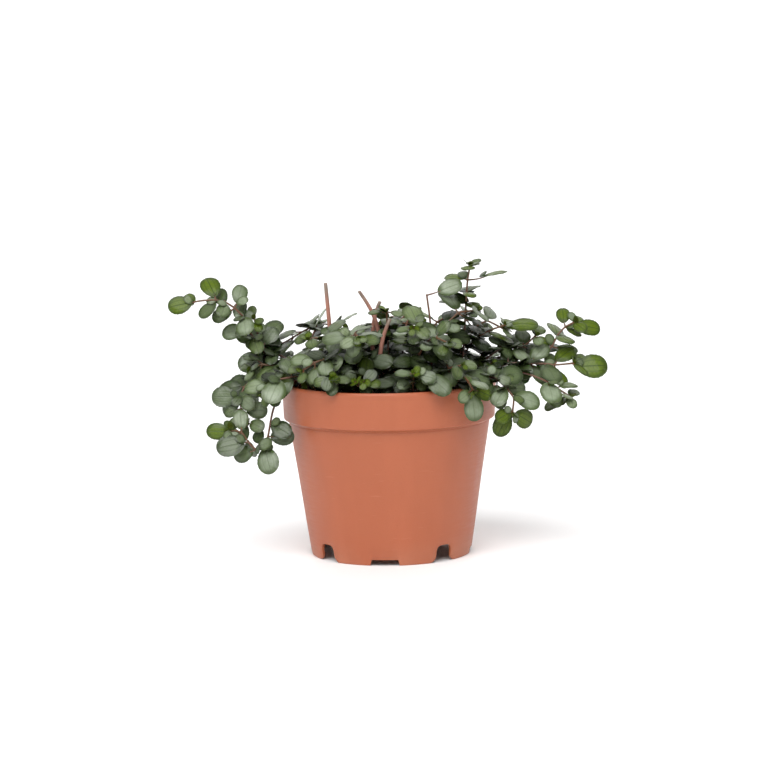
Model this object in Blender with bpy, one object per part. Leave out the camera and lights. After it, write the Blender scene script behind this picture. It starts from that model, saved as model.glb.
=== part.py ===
"""A potted pilea: a small trailing plant with round leaves in a round plastic nursery pot.

The pot stands on four feet on z = 0 with its axis on the z axis; the front of the plant faces -y.
Each shoot grows from the soil as one piece: a thin stem, its petioles and its leaves.
Lengths are in metres.
"""

import math
import random

import bmesh
import bpy
from mathutils import Matrix, Vector
from mathutils.bvhtree import BVHTree

# Pot
POT_HEIGHT = 0.098
RIM_RADIUS = 0.0605  # outside of the collar at the very top
COLLAR_HEIGHT = 0.0205  # the straight band under the rim
COLLAR_STEP = 0.0028  # how far the collar stands out from the body
COLLAR_TAPER = 0.001  # how much wider the collar is at the very top than at its foot
INNER_SLOPE = 1.2  # rise over run of the inside where the collar starts
BASE_RADIUS = 0.0451  # outside of the body at the feet
WALL = 0.0014
SIDES = 56  # flats round the pot

# Foot of the pot
FLOOR_HEIGHT = 0.0105  # underside of the floor above the ground
ARCH_WIDTH = 0.0104
ARCH_HEIGHT = 0.0098
FOOT_CORNER = 0.0042  # rounding of the feet beside an arch
ARCH_ANGLES = [-141, -51, 39, 129]  # degrees from the front, counter-clockwise seen from above
NOTCH_WIDTH = 0.0158
NOTCH_HEIGHT = 0.0034
NOTCH_TURN = 46  # degrees from an arch to the notch in the foot beside it
DRAIN_RADIUS = 0.004
DRAIN_RING = 0.034  # from the axis to the middle of a drain hole
DRAIN_SIDES = 12

# Soil
SOIL_DEPTH = 0.014  # from the rim down to the soil
SOIL_CROWN = 0.003  # how much the middle is heaped up
SOIL_SIDES = 40

# Plant
STEM_RADIUS = 0.0007
CUT_STEM_RADIUS = 0.0011
LEAF_LENGTH = 0.0130
LEAF_WIDTH_RATIO = 0.93
LEAF_THICKNESS = 0.0008
PETIOLE_LENGTH = 0.0024
NODE_SPACING = 0.0066  # along a stem, from one pair of leaves to the next
MOUND_HEIGHT = 0.041  # top of the mound's stems above the rim
MOUND_RADIUS = 0.084
MOUND_SLOPE = 0.10  # the mound rises this much towards the right
MOUND_SHOOTS = 20
SKIRT_SHOOTS = 12  # shorter shoots that fill the gap between the mound and the rim
DEPTH_REACH = 0.0655  # no leaf reaches farther to the front or the back

CLEARANCE = 0.0003  # left between one piece and another
STEM_FOOT_GAP = 0.0005  # from the soil up to the foot of a stem
JOINT = 0.0006  # half the length of stem that a leaf grows from
NECK = 0.0007  # half the width of a leaf where its petiole joins
PETIOLE_CORE = 0.00008  # least distance from the middle of a petiole to its faces
CURVE_STEPS = 10  # steps between two points of a stem
STEM_FILL = 0.0105  # longest stretch of stem without a ring
SEED = 11

# Half outline of a leaf from its base to its tip: share of the length, share of the half width
LEAF_HALF = [(0.10, 0.62), (0.44, 1.0), (0.80, 0.78)]
UP = Vector((0, 0, 1))
GOLDEN_ANGLE = math.radians(137.508)

# The shoots that stand out, as points from the soil to the tip. x and y are shares of the rim radius
# from the pot's axis, and the last number is the height above the rim as a share of the rim radius.
LOOSE_SHOOTS = {
    "left_high": [(-0.56, -0.07), (-0.86, -0.06, 0.17), (-1.15, -0.02, 0.31), (-1.27, -0.05, 0.45),
                  (-1.34, -0.10, 0.63), (-1.50, -0.11, 0.76), (-1.68, -0.10, 0.78), (-1.80, -0.10, 0.76)],
    "left_high_back": [(-0.60, 0.10), (-0.90, 0.07, 0.14), (-1.13, 0.07, 0.22), (-1.21, 0.05, 0.44),
                       (-1.24, 0.02, 0.60)],
    "left_mid": [(-0.62, -0.16), (-0.92, -0.16, 0.10), (-1.16, -0.16, 0.18), (-1.28, -0.17, 0.14)],
    "left_trail": [(-0.66, 0.03), (-0.92, 0.00, 0.12), (-1.12, -0.04, 0.12), (-1.29, -0.13, 0.02),
                   (-1.37, -0.20, -0.10), (-1.36, -0.28, -0.24), (-1.30, -0.36, -0.36)],
    "left_loop": [(-0.60, -0.27), (-0.73, -0.36, 0.03), (-0.86, -0.44, 0.09), (-0.97, -0.47, -0.02),
                  (-1.05, -0.49, -0.14), (-1.09, -0.50, -0.32), (-1.12, -0.51, -0.46),
                  (-1.20, -0.51, -0.57), (-1.29, -0.50, -0.50), (-1.35, -0.47, -0.41), (-1.45, -0.42, -0.39)],
    "left_front": [(-0.56, -0.36), (-0.76, -0.48, 0.08), (-0.92, -0.54, 0.10), (-1.06, -0.55, 0.06),
                   (-1.15, -0.56, -0.06)],
    "right_upright": [(0.63, -0.06), (0.69, -0.08, 0.20), (0.72, -0.10, 0.64), (0.74, -0.10, 0.90),
                      (0.77, -0.10, 1.07)],
    "right_bare": [(0.36, -0.13), (0.40, -0.20, 0.40), (0.36, -0.20, 0.82)],
    "right_top": [(0.50, 0.08), (0.76, 0.04, 0.30), (0.98, 0.00, 0.46), (1.10, 0.00, 0.49)],
    "right_high": [(0.64, 0.10), (0.95, 0.04, 0.16), (1.16, 0.00, 0.20), (1.42, -0.03, 0.21),
                   (1.53, -0.03, 0.30), (1.60, 0.00, 0.43), (1.74, 0.00, 0.51)],
    "right_mid": [(0.56, -0.02), (0.98, -0.04, 0.24), (1.26, -0.02, 0.29), (1.38, -0.02, 0.40)],
    "right_long": [(0.68, -0.14), (1.00, -0.17, 0.12), (1.36, -0.20, 0.15), (1.58, -0.21, 0.13),
                   (1.72, -0.20, 0.15)],
    "right_low": [(0.64, -0.27), (0.92, -0.33, 0.09), (1.20, -0.37, 0.10), (1.42, -0.40, 0.02),
                  (1.56, -0.40, -0.07), (1.66, -0.40, -0.14)],
    "right_trail": [(0.60, -0.42), (0.80, -0.50, 0.08), (0.97, -0.56, 0.06), (1.09, -0.60, -0.05),
                    (1.14, -0.64, -0.14), (1.11, -0.67, -0.25)],
    "front_right": [(0.26, -0.60), (0.30, -0.78, 0.12), (0.32, -0.92, 0.15)],
    "front_right_low": [(0.49, -0.50), (0.63, -0.69, 0.10), (0.71, -0.85, 0.08), (0.76, -0.93, -0.01)],
    "front_mid": [(-0.17, -0.56), (-0.21, -0.78, 0.09), (-0.23, -0.92, 0.10)],
    "front_left": [(-0.46, -0.56), (-0.49, -0.76, 0.11), (-0.51, -0.90, 0.13)],
    "back_left": [(-0.34, 0.60), (-0.44, 0.80, 0.11), (-0.50, 0.92, 0.09)],
    "back_right": [(0.38, 0.58), (0.50, 0.78, 0.11), (0.60, 0.88, 0.07)],
    "back_side_left": [(-0.60, 0.34), (-0.84, 0.50, 0.12), (-1.02, 0.60, 0.06), (-1.10, 0.64, -0.12)],
    "back_side_right": [(0.60, 0.34), (0.84, 0.50, 0.12), (1.04, 0.58, 0.08), (1.18, 0.64, -0.06)],
}

# Where the leaves of a shoot start, as a share of the stem. The rest start at a third.
BARE_SHARE = {
    "left_loop": 0.60, "left_trail": 0.52, "left_high": 0.42, "right_upright": 0.62, "right_bare": 0.99,
    "right_high": 0.46, "right_low": 0.80, "right_long": 0.48, "right_trail": 0.50, "left_mid": 0.30,
    "left_high_back": 0.55,
}

# Which way the upper sides of a shoot's leaves face, where that isn't simply up and outwards
LIGHT = {
    "shoot_left_high": (-0.2, -0.7, 0.7), "shoot_left_high_back": (0.1, -0.75, 0.5),
    "shoot_left_mid": (-0.35, -0.55, 0.7), "shoot_left_trail": (-0.4, -0.75, 0.5),
    "shoot_left_loop": (-0.2, -0.8, 0.5), "shoot_left_front": (-0.35, -0.65, 0.7),
    "shoot_right_upright": (0.0, -0.15, 1.0), "shoot_right_top": (0.1, -0.4, 0.9),
    "shoot_right_high": (0.1, -0.45, 0.85), "shoot_right_mid": (0.1, -0.55, 0.8),
    "shoot_right_long": (0.1, -0.6, 0.75), "shoot_right_low": (0.1, -0.55, 0.8),
    "shoot_right_trail": (0.3, -0.75, 0.5),
}

# Leaves set by hand: share of the stem, direction, the way the upper side faces, length, petiole
SET_LEAVES = {
    "left_high": [(1.0, (-1, -0.1, -0.18), (-0.1, -0.9, 0.35), 0.95, 1.3)],
    "left_loop": [(0.68, (1, -0.1, 0.05), (0.1, -1, 0.35), 0.92, 0.9),
                  (0.86, (0.62, 0, -0.85), (-0.5, -0.75, -0.1), 1.05, 1.0),
                  (1.0, (-1, 0, 0.05), (-0.1, -1, 0.25), 0.92, 1.3)],
    "left_trail": [(0.74, (-1, 0.05, 0.05), (-0.15, -1, 0.3), 1.0, 1.1)],
    "right_upright": [(0.90, (0.95, 0.1, 0.30), (-0.2, -0.1, 1), 1.0, 3.8)],
    "right_bare": [(1.0, (0.85, 0, 0.35), (0.2, -0.9, 0.5), 1.0, 3.0)],
    "right_top": [(1.0, (1, 0, 0.10), (-0.05, -0.45, 0.9), 1.25, 1.5)],
    "right_high": [(1.0, (1, 0, -0.12), (0, -0.75, 0.6), 0.95, 1.3)],
    "right_long": [(1.0, (1, 0, 0.06), (0.05, -0.85, 0.5), 1.22, 1.6)],
    "right_low": [(1.0, (-0.93, 0, -0.36), (-0.35, -0.5, 0.9), 0.9, 1.3)],
    "right_trail": [(0.92, (-0.45, -0.2, -0.85), (0.1, -1, 0.15), 1.0, 1.2),
                    (1.0, (0.35, 0, -0.95), (0.25, -1, 0.15), 1.2, 1.3)],
    "front_right": [(1.0, (0.35, -0.25, -0.30), (0.1, -0.8, 0.65), 1.1, 1.3)],
    "front_right_low": [(1.0, (0.1, -0.15, -0.75), (0.1, -1, 0.35), 1.05, 1.3)],
}

# Cut stems that stand bare above the leaves, as points like those above
CUT_STEMS = {
    "cut_stem_left": [(-0.50, 0.00), (-0.54, 0.00, 0.50), (-0.57, 0.00, 0.91)],
    "cut_stem_middle": [(-0.02, 0.02), (-0.10, 0.01, 0.52), (-0.26, 0.00, 0.83)],
    "cut_stem_back": [(-0.16, 0.16), (-0.13, 0.12, 0.55), (-0.07, 0.10, 0.72)],
    "cut_stem_front": [(-0.12, -0.30), (-0.06, -0.30, 0.38), (0.02, -0.30, 0.60)],
}


def clear_scene():
    for obj in list(bpy.data.objects):
        bpy.data.objects.remove(obj, do_unlink=True)


def material(name, colour, roughness):
    made = bpy.data.materials.new(name)
    made.use_nodes = True
    shader = made.node_tree.nodes["Principled BSDF"]
    shader.inputs["Base Color"].default_value = (*colour, 1)
    shader.inputs["Roughness"].default_value = roughness
    shader.inputs["Metallic"].default_value = 0
    made.diffuse_color = (*colour, 1)
    return made


def add_object(name, mesh, made_of, smooth=False):
    mesh.materials.append(made_of)
    if smooth:
        mesh.shade_smooth()
    obj = bpy.data.objects.new(name, mesh)
    bpy.context.scene.collection.objects.link(obj)
    return obj


def mesh_from(name, points, faces):
    """A mesh of these points and faces, with every face turned outwards."""
    mesh = bpy.data.meshes.new(name)
    mesh.from_pydata([tuple(point) for point in points], [], faces)
    shape = bmesh.new()
    shape.from_mesh(mesh)
    bmesh.ops.recalc_face_normals(shape, faces=shape.faces)
    if shape.calc_volume(signed=True) < 0:
        bmesh.ops.reverse_faces(shape, faces=shape.faces)
    shape.to_mesh(mesh)
    shape.free()
    return mesh


def revolved(profile, sides):
    """Points and faces of a profile of (radius, height) that starts and ends on the axis."""
    points = [Vector((0, 0, profile[0][1]))]
    for radius, height in profile[1:-1]:
        for k in range(sides):
            angle = 2 * math.pi * k / sides
            points.append(Vector((radius * math.sin(angle), -radius * math.cos(angle), height)))
    points.append(Vector((0, 0, profile[-1][1])))
    last = len(points) - 1
    rings = len(profile) - 2
    faces = []
    for k in range(sides):
        after = (k + 1) % sides
        faces.append((0, 1 + k, 1 + after))
        faces.append((last, 1 + (rings - 1) * sides + after, 1 + (rings - 1) * sides + k))
        for ring in range(rings - 1):
            low, high = 1 + ring * sides, 1 + (ring + 1) * sides
            faces.append((low + k, high + k, high + after, low + after))
    return points, faces


def body_radius(height):
    """Outside of the pot's body below the collar."""
    top = POT_HEIGHT - COLLAR_HEIGHT
    return BASE_RADIUS + (RIM_RADIUS - COLLAR_TAPER - COLLAR_STEP - BASE_RADIUS) * height / top


def pot_inner(height):
    """Inside of the pot at a height above its floor."""
    step = POT_HEIGHT - COLLAR_HEIGHT
    if height < step:
        return body_radius(height) - WALL
    return min(RIM_RADIUS - COLLAR_TAPER, body_radius(step) + (height - step) * INNER_SLOPE) - WALL


def pot_profile():
    step = POT_HEIGHT - COLLAR_HEIGHT
    top = POT_HEIGHT
    collar = RIM_RADIUS - COLLAR_TAPER
    floor = FLOOR_HEIGHT + WALL
    inner_step = step + (collar - body_radius(step)) / INNER_SLOPE
    return [
        (0, FLOOR_HEIGHT),
        (body_radius(FLOOR_HEIGHT) - 1.25 * WALL, FLOOR_HEIGHT),
        (BASE_RADIUS - WALL, 0.0003),
        (BASE_RADIUS - WALL + 0.0002, 0),
        (BASE_RADIUS - 0.0003, 0),
        (BASE_RADIUS, 0.0004),
        (body_radius(ARCH_HEIGHT + 0.003), ARCH_HEIGHT + 0.003),
        (body_radius(0.6 * step), 0.6 * step),
        (body_radius(step) - 0.0002, step - 0.0018),
        (body_radius(step) + 0.5 * COLLAR_STEP, step - 0.0006),
        (collar, step + 0.0006),
        (RIM_RADIUS - 0.0001, top - 0.0012),
        (RIM_RADIUS - 0.0003, top - 0.0003),
        (RIM_RADIUS - 0.0009, top),
        (RIM_RADIUS - 0.0017, top - 0.0003),
        (collar - WALL, top - 0.0016),
        (collar - WALL, inner_step),
        (body_radius(step) - WALL, step),
        (body_radius(floor) - WALL, floor),
        (0, floor),
    ]


def cutter(name, outline, angle, near, far):
    """A bar of this (across, up) outline that reaches from near to far in the direction of angle."""
    turn = Matrix.Rotation(math.radians(angle), 4, "Z")
    points = [turn @ Vector((x, -depth, z)) for depth in (near, far) for x, z in outline]
    count = len(outline)
    faces = [tuple(range(count)), tuple(range(2 * count - 1, count - 1, -1))]
    faces += [(k, (k + 1) % count, count + (k + 1) % count, count + k) for k in range(count)]
    obj = bpy.data.objects.new(name, mesh_from(name, points, faces))
    bpy.context.scene.collection.objects.link(obj)
    obj.hide_render = True
    obj.display_type = "WIRE"
    return obj


def drain_cutter(name, angle):
    """A round bar through the floor of the pot, in the direction of angle."""
    low, high = FLOOR_HEIGHT - 0.003, FLOOR_HEIGHT + WALL + 0.003
    bar = revolved([(0, low), (DRAIN_RADIUS, low), (DRAIN_RADIUS, high), (0, high)], DRAIN_SIDES)
    obj = bpy.data.objects.new(name, mesh_from(name, *bar))
    bpy.context.scene.collection.objects.link(obj)
    obj.location = Matrix.Rotation(math.radians(angle), 4, "Z") @ Vector((0, -DRAIN_RING, 0))
    obj.hide_render = True
    obj.display_type = "WIRE"
    return obj


def cut(obj, tool):
    modifier = obj.modifiers.new(tool.name, "BOOLEAN")
    modifier.operation = "DIFFERENCE"
    modifier.solver = "EXACT"
    modifier.object = tool


def arch_outline():
    """The arched gap between two feet, with the corners of the feet rounded off."""
    half, high = 0.5 * ARCH_WIDTH, ARCH_HEIGHT
    right = [(half + FOOT_CORNER, -0.001)]
    for k in range(4):
        turn = math.radians(30 * k)
        right.append((half + FOOT_CORNER * (1 - math.sin(turn)), FOOT_CORNER * (1 - math.cos(turn))))
    right += [(0.96 * half, 0.76 * high), (0.76 * half, 0.93 * high), (0.36 * half, high)]
    return right + [(-x, z) for x, z in reversed(right)]


def build_pot(made_of):
    points, faces = revolved(pot_profile(), SIDES)
    pot = add_object("pot", mesh_from("pot", points, faces), made_of, smooth=True)
    notch = [(0.5 * NOTCH_WIDTH + 0.0006, -0.001), (0.5 * NOTCH_WIDTH - 0.0006, NOTCH_HEIGHT),
             (-0.5 * NOTCH_WIDTH + 0.0006, NOTCH_HEIGHT), (-0.5 * NOTCH_WIDTH - 0.0006, -0.001)]
    for number, angle in enumerate(ARCH_ANGLES, start=1):
        reach = BASE_RADIUS + 0.01
        cut(pot, cutter(f"arch_cut_{number}", arch_outline(), angle, BASE_RADIUS - 0.012, reach))
        cut(pot, cutter(f"notch_cut_{number}", notch, angle + NOTCH_TURN, BASE_RADIUS - 0.009, reach))
        cut(pot, drain_cutter(f"drain_cut_{number}", angle))
    return points, faces


def soil_top(radius):
    share = min(1.0, radius / pot_inner(POT_HEIGHT - SOIL_DEPTH))
    return POT_HEIGHT - SOIL_DEPTH + SOIL_CROWN * (1 - share * share)


def build_soil(made_of):
    """The soil fills the pot from the floor, with a little clearance all round."""
    step = POT_HEIGHT - COLLAR_HEIGHT
    floor = FLOOR_HEIGHT + WALL + CLEARANCE
    level = POT_HEIGHT - SOIL_DEPTH
    edge = pot_inner(level) - CLEARANCE
    profile = [
        (0, floor),
        (pot_inner(floor) - CLEARANCE, floor),
        (pot_inner(step - 0.001) - CLEARANCE, step - 0.001),
        (pot_inner(step + 0.0004) - CLEARANCE - 0.0002, step + 0.0004),
        (edge, level - 0.001),
        (edge - 0.001, level),
        (0.66 * edge, soil_top(0.66 * edge)),
        (0.33 * edge, soil_top(0.33 * edge)),
        (0, soil_top(0)),
    ]
    points, faces = revolved(profile, SOIL_SIDES)
    add_object("soil", mesh_from("soil", points, faces), made_of)
    return points, faces


class Obstacle:
    """The mesh of something that is already in place, for asking what else crosses it."""

    def __init__(self, owner, kind, points, faces):
        self.owner = owner
        self.kind = kind
        self.centre = sum(points, Vector()) / len(points)
        self.reach = max((point - self.centre).length for point in points)
        self.tree = BVHTree.FromPolygons(points, faces)

    def crosses(self, other):
        if (self.centre - other.centre).length > self.reach + other.reach:
            return False
        return bool(self.tree.overlap(other.tree))


class Stem:
    """A stem along a smooth curve through its points, with a side frame carried along it."""

    def __init__(self, points):
        self.line = []
        ends = [2 * points[0] - points[1], *points, 2 * points[-1] - points[-2]]
        for k in range(len(points) - 1):
            a, b, c, d = ends[k:k + 4]
            for step in range(CURVE_STEPS):
                t = step / CURVE_STEPS
                self.line.append(0.5 * (2 * b + (c - a) * t + (2 * a - 5 * b + 4 * c - d) * t * t
                                        + (3 * b - a - 3 * c + d) * t ** 3))
        self.line.append(points[-1].copy())
        self.along = [0.0]
        for before, after in zip(self.line, self.line[1:]):
            self.along.append(self.along[-1] + (after - before).length)
        self.length = self.along[-1]
        outwards = (self.line[-1] - self.line[0]) * Vector((1, 1, 0))
        side = (outwards if outwards.length > 0.002 else Vector((1, 0, 0))).cross(UP)
        self.sides = []
        for k in range(len(self.line)):
            heading = self.heading(k)
            side = (side - heading * side.dot(heading)).normalized()
            self.sides.append(side)

    def heading(self, k):
        """The stem leaves the soil straight up."""
        if k == 0:
            return UP.copy()
        return (self.line[min(k + 1, len(self.line) - 1)] - self.line[max(k - 1, 0)]).normalized()

    def at(self, distance):
        """Point, heading and side at this distance from the foot of the stem."""
        distance = min(max(distance, 0), self.length)
        k = 0
        while k < len(self.along) - 2 and self.along[k + 1] < distance:
            k += 1
        share = (distance - self.along[k]) / (self.along[k + 1] - self.along[k])
        point = self.line[k].lerp(self.line[k + 1], share)
        heading = self.heading(k).lerp(self.heading(k + 1), share).normalized()
        side = self.sides[k].lerp(self.sides[k + 1], share)
        return point, heading, (side - heading * side.dot(heading)).normalized()

    def ring(self, distance, radius):
        """Four corners round the stem, so that the four flats between them face out at 0, 90, 180, 270."""
        point, heading, side = self.at(distance)
        other = heading.cross(side)
        corners = []
        for k in range(4):
            angle = math.radians(90 * k - 45)
            corners.append(point + (side * math.cos(angle) + other * math.sin(angle)) * radius * 1.3)
        return corners

    def tube(self, radius, spacing):
        """Points and faces of the plain stem at this radius, for testing what it crosses."""
        count = max(2, math.ceil(self.length / spacing) + 1)
        points = []
        for k in range(count):
            points += self.ring(self.length * k / (count - 1), radius)
        faces = [(3, 2, 1, 0), tuple(len(points) - 4 + k for k in range(4))]
        for ring in range(count - 1):
            for k in range(4):
                after = (k + 1) % 4
                low, high = 4 * ring, 4 * ring + 4
                faces.append((low + k, low + after, high + after, high + k))
        return points, faces


class Leaf:
    """A leaf blade with its base at a point: an outline round a raised middle and a keel at the base."""

    def __init__(self, base, direction, facing, length):
        self.base = base
        self.axis = direction.normalized()
        self.normal = (facing - self.axis * facing.dot(self.axis)).normalized()
        self.across = self.normal.cross(self.axis)
        self.length = length
        half_width = 0.5 * length * LEAF_WIDTH_RATIO
        left = [(0.0, NECK)] + [(share * length, wide * half_width) for share, wide in LEAF_HALF]
        flat = left + [(length, 0.0)] + [(x, -y) for x, y in reversed(left)]
        self.outline = [self.place(x, y, self.sag(x, y)) for x, y in flat]
        self.crown = self.place(0.45 * length, 0, LEAF_THICKNESS)
        self.keel = self.place(JOINT, 0, -NECK)
        self.flat = flat

    def sag(self, x, y):
        """The blade droops a little towards its tip and rises towards its margins."""
        return 0.05 * abs(y) - 0.06 * x * x / self.length

    def place(self, x, y, z):
        return self.base + self.axis * x + self.across * y + self.normal * z

    def guard(self):
        """A slightly thicker and wider blade, for testing what the leaf comes too close to."""
        middle = 0.5 * self.length
        grown = []
        for x, y in self.flat:
            away = Vector((x - middle, y, 0)).normalized() * CLEARANCE
            grown.append((x + away.x, y + away.y))
        points = [self.place(x, y, self.sag(x, y) + CLEARANCE) for x, y in grown]
        points += [self.place(x, y, self.sag(x, y) - CLEARANCE) for x, y in grown]
        count = len(grown)
        points.append(self.crown + self.normal * CLEARANCE)
        points.append(self.keel - self.normal * CLEARANCE)
        faces = []
        for k in range(count):
            after = (k + 1) % count
            faces.append((k, after, 2 * count))
            faces.append((count + after, count + k, 2 * count + 1))
            faces.append((k, count + k, count + after, after))
        return points, faces


def petiole_guard(start, end):
    """A thin bar along the petiole, which leaves out its first stretch beside the stem."""
    axis = (end - start).normalized()
    side = axis.orthogonal().normalized() * 0.0009
    other = axis.cross(side)
    first = start.lerp(end, 0.35)
    points = [first + side, first + other, first - side, first - other,
              end + side, end + other, end - side, end - other]
    faces = [(0, 1, 2, 3), (7, 6, 5, 4)]
    faces += [(k, (k + 1) % 4, 4 + (k + 1) % 4, 4 + k) for k in range(4)]
    return points, faces


def petiole_faces(turn, corners, keel, left, right):
    """The faces from four corners on the stem to the three at the base of a leaf."""
    a, b, c, d = (corners[(turn + k) % 4] for k in range(4))
    return [(a, b, keel), (b, left, keel), (b, c, left), (c, right, left), (c, d, right), (d, a, right),
            (a, keel, right)]


def petiole_turns(corners, leaf):
    """The turns of the corners, least stretched first, that give a petiole which doesn't cross itself."""
    points = [*corners, leaf.keel, leaf.outline[0], leaf.outline[-1]]
    start = sum(corners, Vector()) / 4
    end = sum(points[4:], Vector()) / 3
    middle = start.lerp(end, 0.5)
    good = []
    for turn in range(4):
        faces = petiole_faces(turn, range(4), 4, 5, 6) + [(2, 1, 0), (3, 2, 0), (4, 5, 6)]
        heights = []
        for i, j, k in faces:
            normal = (points[j] - points[i]).cross(points[k] - points[i]).normalized()
            heights.append(normal.dot(points[i] - middle))
        if min(heights) > PETIOLE_CORE:
            stretch = sum((points[i] - points[j]).length for i, j, _ in faces[:7])
            good.append((stretch, turn))
    return [turn for _, turn in sorted(good)]


class Shoot:
    """A stem and the leaves that grow from it."""

    def __init__(self, name, stem, thickness):
        self.name = name
        self.stem = stem
        self.thickness = thickness
        self.nodes = []  # distances of the pairs of leaves along the stem
        self.leaves = {}  # (node, flat of the stem) -> Leaf

    def radius(self, distance):
        return self.thickness * (1 - 0.25 * distance / self.stem.length)

    def corners(self, node, flat):
        """The four corners of the stretch of stem that a leaf grows from."""
        low, high = (self.stem.ring(self.nodes[node] + shift, self.radius(self.nodes[node] + shift))
                     for shift in (-JOINT, JOINT))
        after = (flat + 1) % 4
        return [low[flat], low[after], high[after], high[flat]]

    def set_nodes(self, bare_share, spacing, draw):
        stem = self.stem
        distance = max(0.004, bare_share * stem.length)
        last = stem.length - 0.0012
        self.nodes = []
        while distance < last - 0.7 * spacing:
            self.nodes.append(distance)
            distance += spacing * draw.uniform(0.85, 1.15)
        self.nodes.append(last)

    def mesh(self):
        """One closed surface: the stem's flats, with each leaf grown out of its flat by way of a petiole."""
        stem = self.stem
        stations = [(0.0, None)]
        for node, distance in enumerate(self.nodes):
            if any((node, flat) in self.leaves for flat in range(4)):
                stations += [(distance - JOINT, None), (distance + JOINT, node)]
        if stations[-1][0] < stem.length - 0.001:
            stations.append((stem.length, None))
        for (before, _), (after, _) in list(zip(stations, stations[1:])):
            gap = after - before
            parts = int(gap / STEM_FILL)
            stations += [(before + gap * k / (parts + 1), None) for k in range(1, parts + 1)]
        stations.sort(key=lambda station: station[0])
        points, faces = [], []
        for distance, _ in stations:
            points += stem.ring(distance, self.radius(distance))
        top = len(points) - 4
        faces += [(3, 2, 1, 0), (top, top + 1, top + 2, top + 3)]
        for number, (_, node) in enumerate(stations[1:], start=1):
            low, high = 4 * (number - 1), 4 * number
            for flat in range(4):
                after = (flat + 1) % 4
                corners = [low + flat, low + after, high + after, high + flat]
                leaf = self.leaves.get((node, flat)) if node is not None else None
                if leaf is None:
                    faces.append(tuple(corners))
                else:
                    self.grow(points, faces, corners, leaf)
        return mesh_from(self.name, points, faces)

    def grow(self, points, faces, corners, leaf):
        """Joins a leaf to the open flat with these four corners."""
        turn = petiole_turns([points[corner] for corner in corners], leaf)[0]
        start = len(points)
        points += leaf.outline
        points += [leaf.crown, leaf.keel]
        count = len(leaf.outline)
        left, right = start, start + count - 1
        crown, keel = start + count, start + count + 1
        faces += petiole_faces(turn, corners, keel, left, right)
        for k in range(count - 1):
            faces.append((start + k + 1, start + k, crown))
            faces.append((start + k, start + k + 1, keel))
        faces.append((left, right, crown))


def on_soil(radius, angle):
    """Where a stem starts, at this angle from the front."""
    x, y = radius * math.sin(angle), -radius * math.cos(angle)
    return Vector((x, y, soil_top(radius) + STEM_FOOT_GAP))


def scaled(point):
    """A point of the lists above in metres."""
    x, y = point[0] * RIM_RADIUS, point[1] * RIM_RADIUS
    if len(point) == 2:
        return on_soil(math.hypot(x, y), math.atan2(x, -y))
    return Vector((x, y, POT_HEIGHT + point[2] * RIM_RADIUS))


def mound_height(x, y):
    share = min(1.0, math.hypot(x, y) / MOUND_RADIUS)
    low = POT_HEIGHT - SOIL_DEPTH
    return low + (MOUND_HEIGHT + SOIL_DEPTH) * math.sqrt(1 - share ** 3) + MOUND_SLOPE * x


def mound_path(number, draw):
    """A shoot of the mound: up from the soil, then outwards just under the mound's surface."""
    share = math.sqrt((number + 0.5) / MOUND_SHOOTS)
    angle = number * GOLDEN_ANGLE + draw.uniform(-0.15, 0.15)
    end = share * 0.80 * MOUND_RADIUS
    start = min(0.45 * end, 0.72 * pot_inner(POT_HEIGHT - SOIL_DEPTH))
    swing = draw.uniform(-0.5, 0.5)
    reach = draw.uniform(0.90, 1.0)
    points = [on_soil(start, angle + swing)]
    for part, lift in ((0.35, 0.66), (0.68, 0.95), (1.0, 1.0)):
        radius, turn = start + (end - start) * part, angle + swing * (1 - part)
        x, y = radius * math.sin(turn), -radius * math.cos(turn)
        ground = points[0].z
        height = ground + (mound_height(x, y) * reach - ground) * lift
        if radius > 0.82 * RIM_RADIUS:
            height = max(height, POT_HEIGHT + 0.006)
        points.append(Vector((x, y, height)))
    return points


def skirt_path(number, draw):
    """A short shoot near the wall that leans out just over the rim."""
    angle = 2 * math.pi * (number + 0.5) / SKIRT_SHOOTS + draw.uniform(-0.12, 0.12)
    points = [on_soil(0.74 * pot_inner(POT_HEIGHT - SOIL_DEPTH), angle + 0.12)]
    for radius, rise in ((0.80, -0.001), (0.90, 0.0065), (0.99, draw.uniform(0.009, 0.012))):
        turn = angle - 0.25 * (radius - 0.8)
        points.append(Vector((radius * RIM_RADIUS * math.sin(turn), -radius * RIM_RADIUS * math.cos(turn),
                              POT_HEIGHT + rise)))
    return points


def settle(points, owner, thickness, obstacles, draw):
    """The stem on these points, its middle nudged until it is clear of what stands there already."""
    for attempt in range(240):
        shake = 0.0004 * min(attempt, 60)
        moved = [points[0]]
        for point in points[1:]:
            moved.append(point + Vector([draw.uniform(-1, 1) for _ in range(3)]) * shake)
        if attempt > 20:
            moved[0] = points[0] + Vector((draw.uniform(-1, 1), draw.uniform(-1, 1), 0)) * 0.004
            moved[0].z = soil_top(moved[0].xy.length) + STEM_FOOT_GAP
        stem = Stem(moved)
        guard = Obstacle(owner, "stem", *stem.tube(thickness + CLEARANCE, 0.002))
        if not any(guard.crosses(other) for other in obstacles):
            return stem, guard
    raise RuntimeError(f"{owner} finds no free way")


def light_on(name, point):
    """The way a leaf at this point turns its upper side: up and away from the middle of the mound."""
    if name in LIGHT:
        return Vector(LIGHT[name]).normalized()
    away = Vector((point.x, point.y, 0)) / RIM_RADIUS
    lean = min(1.0, away.length)
    hang = min(1.0, max(0.0, (POT_HEIGHT + 0.012 - point.z) / 0.02))
    out = away.normalized() if away.length > 0.01 else Vector()
    up = UP * (1 - 0.5 * hang)
    return (up + out * (0.6 * lean + 0.3 * hang) + Vector((0, -0.3, 0))).normalized()


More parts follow.
